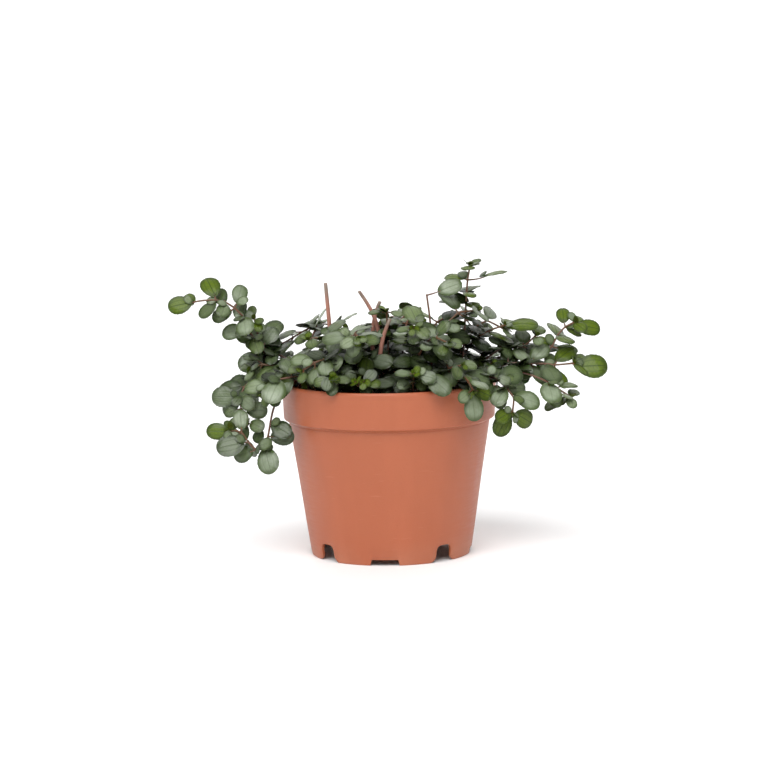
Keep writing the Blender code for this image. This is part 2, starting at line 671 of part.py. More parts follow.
def allowed(shoot, leaf):
    """Leaves stay above the soil, and those of the mound don't hang far below the rim."""
    if max(abs(point.y) for point in leaf.outline) > DEPTH_REACH:
        return False
    lowest = min(point.z for point in leaf.outline)
    ground = POT_HEIGHT - SOIL_DEPTH + SOIL_CROWN + 0.001
    inside = any(math.hypot(point.x, point.y) < RIM_RADIUS for point in leaf.outline)
    if inside and lowest < ground:
        return False
    over_rim = shoot.name.startswith(("shoot_mound", "shoot_skirt"))
    floor = POT_HEIGHT - 0.004 if over_rim else 0.01
    return lowest > floor or (inside and lowest > ground and leaf.base.xy.length < 0.8 * RIM_RADIUS)


def free_place(shoot, leaf, root, obstacles):
    """The leaf's guards if nothing stands in its way."""
    blade = Obstacle(shoot.name, "leaf", *leaf.guard())
    stalk = Obstacle(shoot.name, "petiole", *petiole_guard(root, leaf.base))
    for other in obstacles:
        own_stem = other.owner == shoot.name and other.kind == "stem"
        if blade.crosses(other) or (not own_stem and stalk.crosses(other)):
            return None
    return blade, stalk


def add_leaf(shoot, node, flat, wanted, obstacles, draw):
    """Grows a leaf on this flat, trying other angles and smaller sizes until it has room."""
    point, heading, side = shoot.stem.at(shoot.nodes[node])
    other = heading.cross(side)
    angle = math.radians(90 * flat)
    out = side * math.cos(angle) + other * math.sin(angle)
    from_tip = shoot.stem.length - shoot.nodes[node]
    for attempt in range(14):
        loose = 0.15 + 0.06 * attempt
        wobble = Vector([draw.uniform(-loose, loose) for _ in range(3)])
        if wanted is None:
            light = light_on(shoot.name, point)
            size = LEAF_LENGTH * draw.uniform(0.80, 1.12) * min(1.0, 0.62 + from_tip / 0.03)
            size *= 1 - 0.03 * attempt
            direction = out + heading * 0.55 + wobble
            direction -= light * (0.85 * direction.dot(light))
            facing = light + Vector([draw.uniform(-0.4, 0.4) for _ in range(3)])
            stalk = PETIOLE_LENGTH * draw.uniform(0.6, 1.5)
        else:
            _, direction, facing, length, stalk = wanted
            direction = Vector(direction) + wobble * (0.12 if attempt == 0 else 0.7)
            facing = Vector(facing)
            size = LEAF_LENGTH * length * (1 - 0.02 * attempt)
            stalk = PETIOLE_LENGTH * stalk
        direction.normalize()
        if direction.dot(out) < 0.1:
            direction = (direction + out * (0.3 - direction.dot(out))).normalized()
        root = point + out * shoot.radius(shoot.nodes[node])
        base = root + (out * 0.6 + direction).normalized() * stalk
        if facing.normalized().cross(direction).length < 0.2:
            continue
        leaf = Leaf(base, direction, facing, size)
        if not allowed(shoot, leaf) or not petiole_turns(shoot.corners(node, flat), leaf):
            continue
        guards = free_place(shoot, leaf, root, obstacles)
        if guards:
            obstacles += guards
            shoot.leaves[node, flat] = leaf
            return True
    return False


def add_set_leaves(shoot, wanted_leaves, obstacles, draw):
    for wanted in wanted_leaves:
        place = wanted[0] * shoot.stem.length
        node = min(range(len(shoot.nodes)), key=lambda k: abs(shoot.nodes[k] - place))
        _, heading, side = shoot.stem.at(shoot.nodes[node])
        other = heading.cross(side)
        direction = Vector(wanted[1]).normalized()
        flats = sorted(range(4), key=lambda k: -direction.dot(
            side * math.cos(math.radians(90 * k)) + other * math.sin(math.radians(90 * k))))
        for flat in flats:
            if (node, flat) not in shoot.leaves and add_leaf(shoot, node, flat, wanted, obstacles, draw):
                break


def grow_plant(obstacles, leaf_material, stem_material):
    draw = random.Random(SEED)
    shoots = []
    for name, path in {**CUT_STEMS, **LOOSE_SHOOTS}.items():
        full_name = name if name in CUT_STEMS else f"shoot_{name}"
        thickness = CUT_STEM_RADIUS if name in CUT_STEMS else STEM_RADIUS
        stem, guard = settle([scaled(point) for point in path], full_name, thickness, obstacles, draw)
        obstacles.append(guard)
        shoot = Shoot(full_name, stem, thickness)
        if name in LOOSE_SHOOTS:
            shoot.set_nodes(BARE_SHARE.get(name, 0.34), NODE_SPACING, draw)
        shoots.append(shoot)
    for number in range(MOUND_SHOOTS + SKIRT_SHOOTS):
        if number < MOUND_SHOOTS:
            name, path = f"shoot_mound_{number + 1:02d}", mound_path(number, draw)
        else:
            number -= MOUND_SHOOTS
            name, path = f"shoot_skirt_{number + 1:02d}", skirt_path(number, draw)
        stem, guard = settle(path, name, STEM_RADIUS, obstacles, draw)
        obstacles.append(guard)
        shoot = Shoot(name, stem, STEM_RADIUS)
        shoot.set_nodes(0.30, NODE_SPACING, draw)
        shoots.append(shoot)
    for shoot in shoots:
        add_set_leaves(shoot, SET_LEAVES.get(shoot.name.removeprefix("shoot_"), []), obstacles, draw)
    for back in range(max(len(shoot.nodes) for shoot in shoots)):
        for shoot in shoots:
            node = len(shoot.nodes) - 1 - back
            if node < 0 or shoot.name == "shoot_right_bare":  # this one keeps a single leaf at its tip
                continue
            for flat in ((0, 2) if back % 2 == 0 else (1, 3)):
                if (node, flat) not in shoot.leaves:
                    add_leaf(shoot, node, flat, None, obstacles, draw)
    for shoot in shoots:
        add_object(shoot.name, shoot.mesh(), leaf_material if shoot.leaves else stem_material)


def main():
    clear_scene()
    terracotta = material("terracotta_plastic", (0.52, 0.155, 0.075), 0.45)
    earth = material("potting_soil", (0.018, 0.012, 0.008), 0.9)
    foliage = material("pilea_foliage", (0.20, 0.28, 0.17), 0.5)
    bark = material("bare_stem", (0.22, 0.07, 0.05), 0.6)
    pot = Obstacle("pot", "pot", *build_pot(terracotta))
    soil = Obstacle("soil", "soil", *build_soil(earth))
    grow_plant([pot, soil], foliage, bark)


main()
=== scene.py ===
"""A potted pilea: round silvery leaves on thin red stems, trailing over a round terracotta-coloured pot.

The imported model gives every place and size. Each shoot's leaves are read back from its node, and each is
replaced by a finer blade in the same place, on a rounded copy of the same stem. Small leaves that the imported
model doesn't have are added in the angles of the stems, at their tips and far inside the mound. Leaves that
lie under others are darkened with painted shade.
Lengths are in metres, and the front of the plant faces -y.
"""

import math
import random

import bmesh
import bpy
from mathutils import Matrix, Vector, noise


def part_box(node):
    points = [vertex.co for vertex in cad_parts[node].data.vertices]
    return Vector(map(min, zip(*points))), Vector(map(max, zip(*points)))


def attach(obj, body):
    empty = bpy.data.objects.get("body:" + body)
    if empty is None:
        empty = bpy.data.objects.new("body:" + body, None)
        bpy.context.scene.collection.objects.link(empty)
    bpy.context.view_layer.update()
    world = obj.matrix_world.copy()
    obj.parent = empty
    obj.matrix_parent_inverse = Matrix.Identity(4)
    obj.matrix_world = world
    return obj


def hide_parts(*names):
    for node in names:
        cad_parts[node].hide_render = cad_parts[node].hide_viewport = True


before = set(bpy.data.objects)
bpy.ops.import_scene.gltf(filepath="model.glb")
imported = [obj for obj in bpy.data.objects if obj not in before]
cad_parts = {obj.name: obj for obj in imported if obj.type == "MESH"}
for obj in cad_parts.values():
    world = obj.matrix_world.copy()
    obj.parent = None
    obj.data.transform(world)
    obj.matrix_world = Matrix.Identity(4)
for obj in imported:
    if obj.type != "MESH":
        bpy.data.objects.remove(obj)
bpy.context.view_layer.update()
pot_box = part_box("pot")

SEED = 5

# Leaves
LEAF_ROWS = 22
LEAF_COLUMNS = 10
LEAF_THICKNESS = 0.0003
LEAF_DOME = 0.0008
VEIN_DEPTH = 0.00016
BLADE_WIDTHS = (0.80, 1.0)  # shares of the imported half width
SIDE_VEIN = 0.48  # share of the half width at which the two side veins run
TEETH = 8  # along each margin
FRESH_AGE = 0.35  # how far from a shoot's tip its leaves are still a little fresh
BRIGHT_SHARE = 0.05  # of the leaves, which are brighter by chance
TYPICAL_LEAF = 0.013
TIP_LEAF_LENGTH = 0.0046
SIDE_LEAF_LENGTH = 0.0062
SIDE_LEAF_SHARE = 0.5
INNER_LEAF_LENGTH = 0.0098
INNER_LEAVES = 11  # on each shoot
INNER_LEAF_RADIUS = 0.080  # they start within this of the axis
INNER_LEAF_RISE = 0.004  # and this far above the soil
# Painted shade: how leaves overhead darken a leaf's colour
SHADE_REACH = 0.008
SHADE_RISE = (0.002, 0.045)
SHADE_EDGE = 0.068  # beyond this radius leaves hang in the light
SHADE_BLUR = 0.014
SHADE_COUNT = 4.5  # leaves overhead that shade one fully
BRIGHT_TIPS = {  # the share of each of these shoots whose leaves are still bright green
    "shoot_right_long": 0.2,
    "shoot_right_top": 0.3,
    "shoot_right_high": 0.25,
    "shoot_right_upright": 0.3,
    "shoot_left_high": 0.12,
    "shoot_right_trail": 0.15,
    "shoot_front_mid": 0.2,
    "shoot_back_right": 0.3,
    "shoot_mound_07": 0.4,
}

# Stems
FOOT_DEPTH = 0.003  # how far a stem goes down into the soil
PETIOLE_RADIUS = 0.00042
PETIOLE_SIDES = 8
PETIOLE_STEPS = 5
STEM_GROWTH = 0.0001  # rounding a stem makes it thinner, and this makes up for it
CUT_STEM_GROWTH = 0.0006

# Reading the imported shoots
WELD = 2e-6
FOOT_RADIUS = 0.056  # a stem's foot lies within this of the axis
FOOT_RISE = 0.0008  # and within this of the top of the soil
TIP_BEHIND = (0.002, 0.008)  # the stretch before the tip that gives its direction
INNER_STRETCH = (0.10, 0.80)  # the stretch of a stem, as shares of it, that inner leaves grow on

# Pot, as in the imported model
COLLAR_HEIGHT = 0.0205
COLLAR_STEP = 0.0028
COLLAR_TAPER = 0.001
BASE_RADIUS = 0.0451
WALL = 0.0014
FLOOR_HEIGHT = 0.0105
ARCH_WIDTH = 0.0104
ARCH_HEIGHT = 0.0098
FOOT_CORNER = 0.0042
ARCH_ANGLES = [-141, -51, 39, 129]
NOTCH_WIDTH = 0.0158
NOTCH_HEIGHT = 0.0034
NOTCH_TURN = 46
DRAIN_RADIUS = 0.004
DRAIN_RING = 0.034
POT_SIDES = 160
POT_CLEARANCE = 0.002  # from the rim to an added leaf
WALL_REACH = 0.009  # how far in from the rim an added leaf keeps, beside the wall

# Soil
SOIL_SIDES = 132
SOIL_RINGS = 44
SOIL_CROWN = 0.003
SOIL_FOOT_RADIUS = 0.0435
CRUMBS = 900

# Studio
FLOOR_RADIUS = 2.6
FLOOR_BEND = 1.2  # radius of the curve from the floor up into the wall
WALL_TOP = 1.6
SKY = 0.42
LAMPS = [  # name, degrees from the front, degrees up, strength, spread in degrees
    ("key", -12, 50, 3.0, 50),
    ("back", 170, 42, 0.9, 70),
]

# Camera
CAMERA_DISTANCE = 1.6
CAMERA_TILT = 7.3  # degrees down
CAMERA_ROLL = -1.0
CAMERA_LENS = 134.73
CAMERA_TARGET = (-0.0049, 0, 0.0977)


def attribute_values(mesh, values):
    """Writes each list of numbers as a point attribute of its name."""
    for name, numbers in values.items():
        mesh.attributes.new(name, "FLOAT", "POINT").data.foreach_set("value", numbers)


# Materials


class Recipe:
    """One Principled material and the nodes that feed it."""

    def __init__(self, name, roughness, **sockets):
        self.material = bpy.data.materials.new(name)
        self.material.use_nodes = True
        self.tree = self.material.node_tree
        self.shader = self.tree.nodes["Principled BSDF"]
        self.shader.inputs["Roughness"].default_value = roughness
        for socket, value in sockets.items():
            self.shader.inputs[socket.replace("_", " ")].default_value = value

    def node(self, kind, **settings):
        made = self.tree.nodes.new(kind)
        for setting, value in settings.items():
            setattr(made, setting, value)
        return made

    def feed(self, socket, value):
        if isinstance(value, bpy.types.NodeSocket):
            self.tree.links.new(value, socket)
        elif isinstance(value, tuple) and len(value) == 3 and socket.type == "RGBA":
            socket.default_value = (*value, 1)
        else:
            socket.default_value = value

    def attribute(self, name):
        return self.node("ShaderNodeAttribute", attribute_name=name).outputs["Fac"]

    def place(self):
        return self.node("ShaderNodeTexCoord").outputs["Object"]

    def stretched(self, x, y, z):
        made = self.node("ShaderNodeMapping")
        self.feed(made.inputs["Vector"], self.place())
        made.inputs["Scale"].default_value = (x, y, z)
        return made.outputs["Vector"]

    def noise(self, scale, detail=3.0, rough=0.55, where=None):
        made = self.node("ShaderNodeTexNoise")
        self.feed(made.inputs["Vector"], where or self.place())
        made.inputs["Scale"].default_value = scale
        made.inputs["Detail"].default_value = detail
        made.inputs["Roughness"].default_value = rough
        return made.outputs["Fac"]

    def math(self, operation, a, b=0.0, c=0.0):
        made = self.node("ShaderNodeMath", operation=operation)
        for socket, value in zip(made.inputs, (a, b, c)):
            self.feed(socket, value)
        return made.outputs["Value"]

    def band(self, value, low, high, from_low=0.0, to_high=1.0):
        """Smooth step of value from low to high."""
        made = self.node("ShaderNodeMapRange", interpolation_type="SMOOTHSTEP")
        for socket, number in zip(made.inputs, (value, low, high, from_low, to_high)):
            self.feed(socket, number)
        return made.outputs["Result"]

    def mix(self, share, a, b, blend="MIX"):
        made = self.node("ShaderNodeMix", data_type="RGBA", blend_type=blend)
        self.feed(made.inputs["Factor"], share)
        self.feed(made.inputs[6], a)
        self.feed(made.inputs[7], b)
        return made.outputs[2]

    def bump(self, height, distance, strength=1.0):
        made = self.node("ShaderNodeBump")
        self.feed(made.inputs["Height"], height)
        made.inputs["Distance"].default_value = distance
        made.inputs["Strength"].default_value = strength
        self.feed(self.shader.inputs["Normal"], made.outputs["Normal"])

    def colour(self, value):
        self.feed(self.shader.inputs["Base Color"], value)

    def rough(self, value):
        self.feed(self.shader.inputs["Roughness"], value)


def leaf_material():
    """Silvery between the veins, green along them and at the margin, and olive underneath, with painted shade
    darkening leaves that lie under others.
    """
    leaf = Recipe("pilea_leaf", 0.5, Subsurface_Weight=0.06, Subsurface_Scale=0.0010, Coat_Weight=0.10)
    leaf.shader.inputs["Subsurface Radius"].default_value = (0.6, 1.0, 0.3)
    along = leaf.attribute("leaf_along")
    across = leaf.math("ABSOLUTE", leaf.attribute("leaf_across"))
    rim = leaf.attribute("leaf_rim")
    tone = leaf.band(leaf.attribute("leaf_tone"), 0.1, 0.9)
    young = leaf.attribute("leaf_young")
    under = leaf.attribute("leaf_under")
    grain = leaf.noise(420.0)
    cloud = leaf.noise(90.0)

    midrib = leaf.band(across, 0.015, 0.085, 1.0, 0.0)
    from_side = leaf.math("ABSOLUTE", leaf.math("SUBTRACT", across, SIDE_VEIN))
    side_vein = leaf.band(from_side, 0.01, 0.11, 1.0, 0.0)
    ladder = leaf.math("ADD", leaf.math("MULTIPLY", along, 40.0), leaf.math("MULTIPLY", across, -9.0))
    ladder = leaf.math("ADD", ladder, leaf.math("MULTIPLY", cloud, 7.0))
    cross_vein = leaf.band(leaf.math("SINE", ladder), 0.30, 1.0)
    veins = leaf.math("MAXIMUM", midrib, leaf.math("MULTIPLY", side_vein, 0.6))
    net = leaf.math("MAXIMUM", veins, leaf.math("MULTIPLY", cross_vein, 0.25))
    ragged = leaf.math("ADD", rim, leaf.math("MULTIPLY", cloud, 0.35))
    margin = leaf.band(ragged, 0.72, 1.14)

    silver = leaf.mix(tone, (0.042, 0.066, 0.017), (0.250, 0.298, 0.205))
    silver = leaf.mix(leaf.band(cloud, 0.30, 0.70, 0.0, 0.6), silver, (0.098, 0.132, 0.056))
    green = leaf.mix(tone, (0.014, 0.027, 0.003), (0.046, 0.072, 0.013))
    upper = leaf.mix(leaf.math("MULTIPLY", net, 0.26), silver, green)
    upper = leaf.mix(leaf.math("MULTIPLY", margin, 0.88), upper, green)
    fresh = leaf.mix(net, (0.080, 0.122, 0.002), (0.036, 0.064, 0.001))
    fresh = leaf.mix(leaf.math("MULTIPLY", margin, 0.80), fresh, (0.022, 0.038, 0.002))
    upper = leaf.mix(leaf.math("MULTIPLY", young, 0.95), upper, fresh)
    upper = leaf.mix(leaf.band(grain, 0.62, 0.78, 0.0, 0.14), upper, (0.28, 0.32, 0.24))
    lower = leaf.mix(cloud, (0.026, 0.040, 0.003), (0.060, 0.078, 0.006))
    lower = leaf.mix(leaf.math("MULTIPLY", veins, 0.35), lower, (0.10, 0.115, 0.022))
    # Painted shade: leaves under others get their colour darkened towards a dark green.
    painted_shade = leaf.attribute("leaf_painted_shade")
    painted_shade_tint = leaf.mix(leaf.math("MULTIPLY", painted_shade, 0.86), (1.0, 1.0, 1.0), (0.06, 0.08, 0.02))
    leaf.colour(leaf.mix(1.0, leaf.mix(under, upper, lower), painted_shade_tint, "MULTIPLY"))
    leaf.rough(leaf.band(net, 0.0, 1.0, 0.34, 0.50))
    # A weaker highlight for young leaves and for leaves under painted shade.
    dull = leaf.math("MAXIMUM", painted_shade, leaf.math("MULTIPLY", young, 0.7))
    leaf.feed(leaf.shader.inputs["Specular IOR Level"], leaf.band(dull, 0.1, 1.0, 0.45, 0.1))
    pillow = leaf.math("SUBTRACT", 1.0, net)
    leaf.bump(leaf.math("ADD", pillow, leaf.math("MULTIPLY", grain, 0.25)), 0.00018, 0.6)
    return leaf.material


def stem_material():
    """Thin live stems and petioles: wine red, browner near the soil and greener towards the tip."""
    stem = Recipe("live_stem", 0.45, Subsurface_Weight=0.05, Subsurface_Scale=0.0008)
    share = stem.attribute("stem_share")
    grain = stem.noise(700.0, where=stem.stretched(1, 1, 0.25))
    patch = stem.noise(120.0)
    old = stem.mix(patch, (0.048, 0.022, 0.014), (0.125, 0.046, 0.028))
    fresh = stem.mix(patch, (0.150, 0.038, 0.020), (0.085, 0.066, 0.022))
    colour = stem.mix(stem.band(share, 0.35, 0.95), old, fresh)
    stem.colour(stem.mix(stem.band(grain, 0.55, 0.75, 0.0, 0.4), colour, (0.22, 0.095, 0.060)))
    stem.bump(grain, 0.00012, 0.7)
    return stem.material


def cut_stem_material():
    """Bare older stems: pinkish brown with a dry grey-brown end."""
    stem = Recipe("cut_stem", 0.6)
    share = stem.attribute("stem_share")
    grain = stem.noise(900.0, where=stem.stretched(1, 1, 0.15))
    patch = stem.noise(160.0)
    bark = stem.mix(patch, (0.300, 0.105, 0.072), (0.440, 0.225, 0.165))
    dry = stem.mix(patch, (0.150, 0.105, 0.080), (0.290, 0.220, 0.170))
    colour = stem.mix(stem.band(share, 0.80, 0.97), bark, dry)
    stem.colour(stem.mix(stem.band(grain, 0.50, 0.72, 0.0, 0.55), colour, (0.16, 0.060, 0.040)))
    stem.rough(stem.band(grain, 0.3, 0.7, 0.5, 0.75))
    stem.bump(grain, 0.00018, 0.8)
    return stem.material


def pot_material():
    """Moulded terracotta-coloured plastic with a satin finish, a little dusty low down."""
    pot = Recipe("terracotta_plastic", 0.42, Subsurface_Weight=0.04, Subsurface_Scale=0.001)
    height = pot.node("ShaderNodeSeparateXYZ")
    pot.feed(height.inputs["Vector"], pot.place())
    up = height.outputs["Z"]
    streak = pot.noise(46.0, where=pot.stretched(1.0, 1.0, 0.12))
    cloud = pot.noise(24.0, 4.0)
    speck = pot.noise(1500.0, 1.0)
    peel = pot.noise(900.0, 2.0)
    scuff = pot.noise(300.0, 2.0, where=pot.stretched(0.25, 0.25, 3.0))
    colour = pot.mix(cloud, (0.332, 0.082, 0.030), (0.370, 0.097, 0.038))
    colour = pot.mix(pot.band(streak, 0.42, 0.66, 0.0, 0.30), colour, (0.420, 0.114, 0.050))
    colour = pot.mix(pot.band(speck, 0.66, 0.74, 0.0, 0.30), colour, (0.27, 0.058, 0.022))
    colour = pot.mix(pot.band(scuff, 0.66, 0.80, 0.0, 0.25), colour, (0.50, 0.190, 0.110))
    dust = pot.math("MULTIPLY", pot.band(up, 0.0, 0.016, 0.45, 0.0), pot.band(cloud, 0.35, 0.65))
    pot.colour(pot.mix(dust, colour, (0.39, 0.160, 0.090)))
    pot.rough(pot.band(pot.math("ADD", streak, pot.math("MULTIPLY", scuff, 0.5)), 0.45, 1.1, 0.36, 0.56))
    pot.bump(pot.math("ADD", peel, pot.math("MULTIPLY", streak, 0.8)), 0.00008, 0.5)
    return pot.material


def soil_material():
    """Dark moist potting soil with paler fibres."""
    soil = Recipe("potting_soil", 0.92)
    crumb = soil.noise(500.0, 6.0, 0.65)
    patch = soil.noise(90.0, 4.0)
    colour = soil.mix(patch, (0.012, 0.008, 0.005), (0.040, 0.024, 0.014))
    colour = soil.mix(soil.band(crumb, 0.58, 0.72, 0.0, 0.8), colour, (0.095, 0.060, 0.035))
    soil.colour(colour)
    soil.bump(soil.math("ADD", crumb, patch), 0.0006, 1.0)
    return soil.material


def crumb_material():
    """Loose bits on the soil: bark fibre, peat and a few pale grains."""
    crumb = Recipe("soil_crumbs", 0.9)
    tone = crumb.attribute("crumb_tone")
    grain = crumb.noise(1200.0, 4.0)
    dark = crumb.mix(grain, (0.018, 0.011, 0.007), (0.060, 0.034, 0.020))
    colour = crumb.mix(crumb.band(tone, 0.55, 0.85), dark, (0.120, 0.070, 0.038))
    crumb.colour(crumb.mix(crumb.band(tone, 0.955, 0.965), colour, (0.50, 0.47, 0.42)))
    crumb.bump(grain, 0.0002, 1.0)
    return crumb.material


def floor_material():
    floor = Recipe("studio_floor", 0.6)
    fleck = floor.noise(60.0)
    floor.colour(floor.mix(fleck, (0.93, 0.93, 0.93), (0.96, 0.96, 0.96)))
    return floor.material


# Reading the shoots


def welded(node):
    """The node's mesh with the corners that lie together merged, and a layer for places along the stem."""
    shape = bmesh.new()
    shape.from_mesh(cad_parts[node].data)
    bmesh.ops.remove_doubles(shape, verts=shape.verts, dist=WELD)
    share = shape.verts.layers.float.new("stem_share")
    return shape, share


class Blade:
    """Where one leaf sits: its base, directions, length and half width."""

    def __init__(self, base, axis, normal, length, half_width, age):
        self.base = base
        self.axis = axis.normalized()
        self.normal = (normal - self.axis * normal.dot(self.axis)).normalized()
        self.across = self.normal.cross(self.axis)
        self.length = length
        self.half_width = half_width
        self.age = age  # 0 at the tip of the shoot, 1 at its foot
        self.painted_shade = 0.0  # 1 under many other leaves: how much painted shade darkens its colour
        self.foot = None  # where its stalk leaves the stem

    def middle(self):
        return self.base + self.axis * self.length / 2


def outline_of(crown):
    """(outline from one side of the base round to the other, keel) of a leaf's crown, or None."""
    if len(crown.link_faces) != 9:
        return None
    beyond = {}
    for face in crown.link_faces:
        for edge in face.edges:
            if crown not in edge.verts and len(edge.link_faces) == 2:
                other = next(f for f in edge.link_faces if f != face)
                beyond[edge] = next(v for v in other.verts if v not in edge.verts)
    tips = list(beyond.values())
    if len(tips) != 9:
        return None
    keel = max(set(tips), key=tips.count)
    if tips.count(keel) != 8:
        return None
    base = next(edge for edge, tip in beyond.items() if tip != keel)
    ring = [base.verts[0]]
    edge = base
    while len(ring) < 9:
        edge = next(e for e in beyond if e != edge and ring[-1] in e.verts)
        ring.append(edge.other_vert(ring[-1]))
    return ring, keel


def from_foot(shape, leaf_points, soil_top):
    """Distance along the stem of each of its points from the foot."""
    own = [v for v in shape.verts if v not in leaf_points]
    feet = [v for v in own if v.co.z < soil_top + FOOT_RISE and v.co.xy.length < FOOT_RADIUS]
    distance = {v: 0.0 for v in feet}
    front = list(feet)
    while front:
        front.sort(key=lambda v: distance[v])
        point = front.pop(0)
        for edge in point.link_edges:
            other = edge.other_vert(point)
            reach = distance[point] + edge.calc_length()
            if other not in leaf_points and reach < distance.get(other, 1e9) - 1e-9:
                distance[other] = reach
                front.append(other)
    return distance, feet


def read_shoot(node, soil_top):
    """A shoot's stem, its leaves, its (tip, direction), and where inner leaves may grow."""
    shape, share = welded(node)
    found = []
    for crown in shape.verts:
        outline = outline_of(crown)
        if outline:
            found.append((crown, *outline))
    leaf_points = {point for crown, ring, keel in found for point in (crown, keel, *ring)}
    distance, feet = from_foot(shape, leaf_points, soil_top)
    tip = max(distance, key=distance.get)
    whole = max(distance[tip], 0.001)
    blades = []
    for crown, ring, keel in found:
        base = (ring[0].co + ring[8].co) / 2
        normal = sum((face.normal * face.calc_area() for face in crown.link_faces), Vector())
        joint = (keel, ring[0], ring[8])
        around = {point for end in joint for face in end.link_faces for point in face.verts}
        roots = [point for point in around if point in distance]
        if not roots:
            roots = [min(distance, key=lambda v: (v.co - base).length)]
        roots.sort(key=lambda v: tuple(v.co))
        reach = ring[4].co - base
        half_width = (ring[2].co - ring[6].co).length / 2
        blade = Blade(base, reach, normal, reach.length, half_width, 1 - distance[roots[0]] / whole)
        blade.foot = sum((point.co for point in roots), Vector()) / len(roots)
        blades.append(blade)
    for point in shape.verts:
        point[share] = distance.get(point, whole) / whole
    ends = sorted(distance, key=lambda v: -distance[v])[:4]
    tip_place = sum((v.co for v in ends), Vector()) / 4
    behind = [v for v in distance if TIP_BEHIND[0] < distance[tip] - distance[v] < TIP_BEHIND[1]]
    back = sum((v.co for v in behind), Vector()) / max(len(behind), 1)
    low, high = (share_of * whole for share_of in INNER_STRETCH)
    inside = [v.co.copy() for v in distance if low < distance[v] < high]
    for foot in feet:
        foot.co.z -= FOOT_DEPTH
    bmesh.ops.delete(shape, geom=list(leaf_points), context="VERTS")
    bmesh.ops.holes_fill(shape, edges=[e for e in shape.edges if e.is_boundary], sides=16)
    bmesh.ops.join_triangles(shape, faces=shape.faces, angle_face_threshold=math.radians(50),
                             angle_shape_threshold=math.radians(50))
    return shape, blades, (tip_place, (tip_place - back).normalized()), inside


# Leaves


def half_width_at(share):
    """A nearly round leaf: share of the half width at this share of the length."""
    return max(0.06, 2 * math.sqrt(max(0.0, share * (1 - share)))) ** 0.92


class LeafBatch:
    """Collects blades into one mesh."""

    def __init__(self):
        self.points = []
        self.faces = []
        self.values = {"leaf_along": [], "leaf_across": [], "leaf_rim": [], "leaf_tone": [],
                       "leaf_young": [], "leaf_under": [], "leaf_painted_shade": []}

    def add(self, blade, draw, young, rows=LEAF_ROWS, columns=LEAF_COLUMNS):
        tone = draw.random()
        cup = draw.uniform(-0.3, 0.5)
        wave = draw.uniform(0, 10)
        skew = draw.uniform(-0.04, 0.04)
        start = len(self.points)
        for under in (0, 1):
            for row in range(rows + 1):
                along = 0.5 - 0.5 * math.cos(math.pi * row / rows)
                width = half_width_at(along)
                for column in range(columns + 1):
                    across = math.sin(math.pi * (column / columns - 0.5))
                    self.put(blade, along, across, width, under, cup, wave, skew)
                    rim = math.hypot(2 * along - 1, across * width)
                    numbers = (along, across, rim, tone, young, under, blade.painted_shade)
                    for name, number in zip(self.values, numbers):
                        self.values[name].append(number)
        self.close(start, rows, columns)

    def put(self, blade, along, across, width, under, cup, wave, skew):
        edge = abs(across)
        rim = min(1.0, math.hypot(2 * along - 1, across * width))
        tooth = 1 + 0.028 * math.sin(2 * math.pi * TEETH * along) * edge ** 6 * (1 - (2 * along - 1) ** 4)
        x = along * blade.length
        y = across * width * blade.half_width * tooth
        x += skew * y
        lobe = max(0.0, 1 - along / 0.25)
        x -= 0.10 * blade.length * edge * lobe * lobe
        scale = blade.length / TYPICAL_LEAF
        dome = LEAF_DOME * scale * (1 - rim ** 2.2)
        sag = 0.05 * abs(y) - 0.06 * x * x / blade.length
        furrow = math.exp(-((edge - SIDE_VEIN) / 0.10) ** 2) + math.exp(-(edge / 0.09) ** 2)
        furrow *= VEIN_DEPTH * scale * (1 - rim ** 4)
        ripple = noise.noise(Vector((along * 3.1 + wave, across * 2.3, wave))) * 0.0005 * scale * (0.3 + rim)
        z = sag + dome - furrow + ripple + cup * 0.0006 * scale * (rim * rim - 0.4)
        if under:
            z -= LEAF_THICKNESS * (1 - 0.6 * rim ** 4) + 0.4 * furrow
        self.points.append(blade.base + blade.axis * x + blade.across * y + blade.normal * z)

    def close(self, start, rows, columns):
        wide = columns + 1
        other = start + (rows + 1) * wide
        for row in range(rows):
            for column in range(columns):
                a = row * wide + column
                quad = (a, a + 1, a + wide + 1, a + wide)
                self.faces.append(tuple(start + k for k in reversed(quad)))
                self.faces.append(tuple(other + k for k in quad))
        edge = [column for column in range(columns)]
        edge += [row * wide + columns for row in range(rows)]
        edge += [rows * wide + columns - column for column in range(columns)]
        edge += [(rows - row) * wide for row in range(rows)]
        for k, point in enumerate(edge):
            after = edge[(k + 1) % len(edge)]
            self.faces.append((start + point, start + after, other + after, other + point))


def tip_leaves(batch, tip, draw):
    """A rosette of very small new leaves at the end of a shoot."""
    place, heading = tip
    side = heading.orthogonal().normalized()
    turn = draw.uniform(0, math.pi)
    for k in range(4):
        angle = turn + k * math.pi / 2 + draw.uniform(-0.2, 0.2)
        out = Matrix.Rotation(angle, 3, heading) @ side
        small = k >= 2
        length = TIP_LEAF_LENGTH * draw.uniform(0.85, 1.2) * (0.6 if small else 1.0)
        axis = out * (0.45 if small else 1.0) + heading * 0.8
        blade = Blade(place - heading * 0.0003 + out * 0.0003, axis, heading - out * 0.6, length,
                      0.42 * length, 0.0)
        batch.add(blade, draw, 1.0, rows=10, columns=6)


def clear_of_pot(blade):
    """True if an added leaf keeps off the pot's wall and rim."""
    rim, top = pot_box[1][0], pot_box[1][2]
    reach = [blade.base, blade.base + blade.axis * blade.length,
             blade.middle() + blade.across * blade.half_width,
             blade.middle() - blade.across * blade.half_width]
    if min(point.z for point in reach) > top + POT_CLEARANCE:
        return True
    far = [point.xy.length for point in reach]
    return max(far) < rim - WALL_REACH or min(far) > rim + POT_CLEARANCE


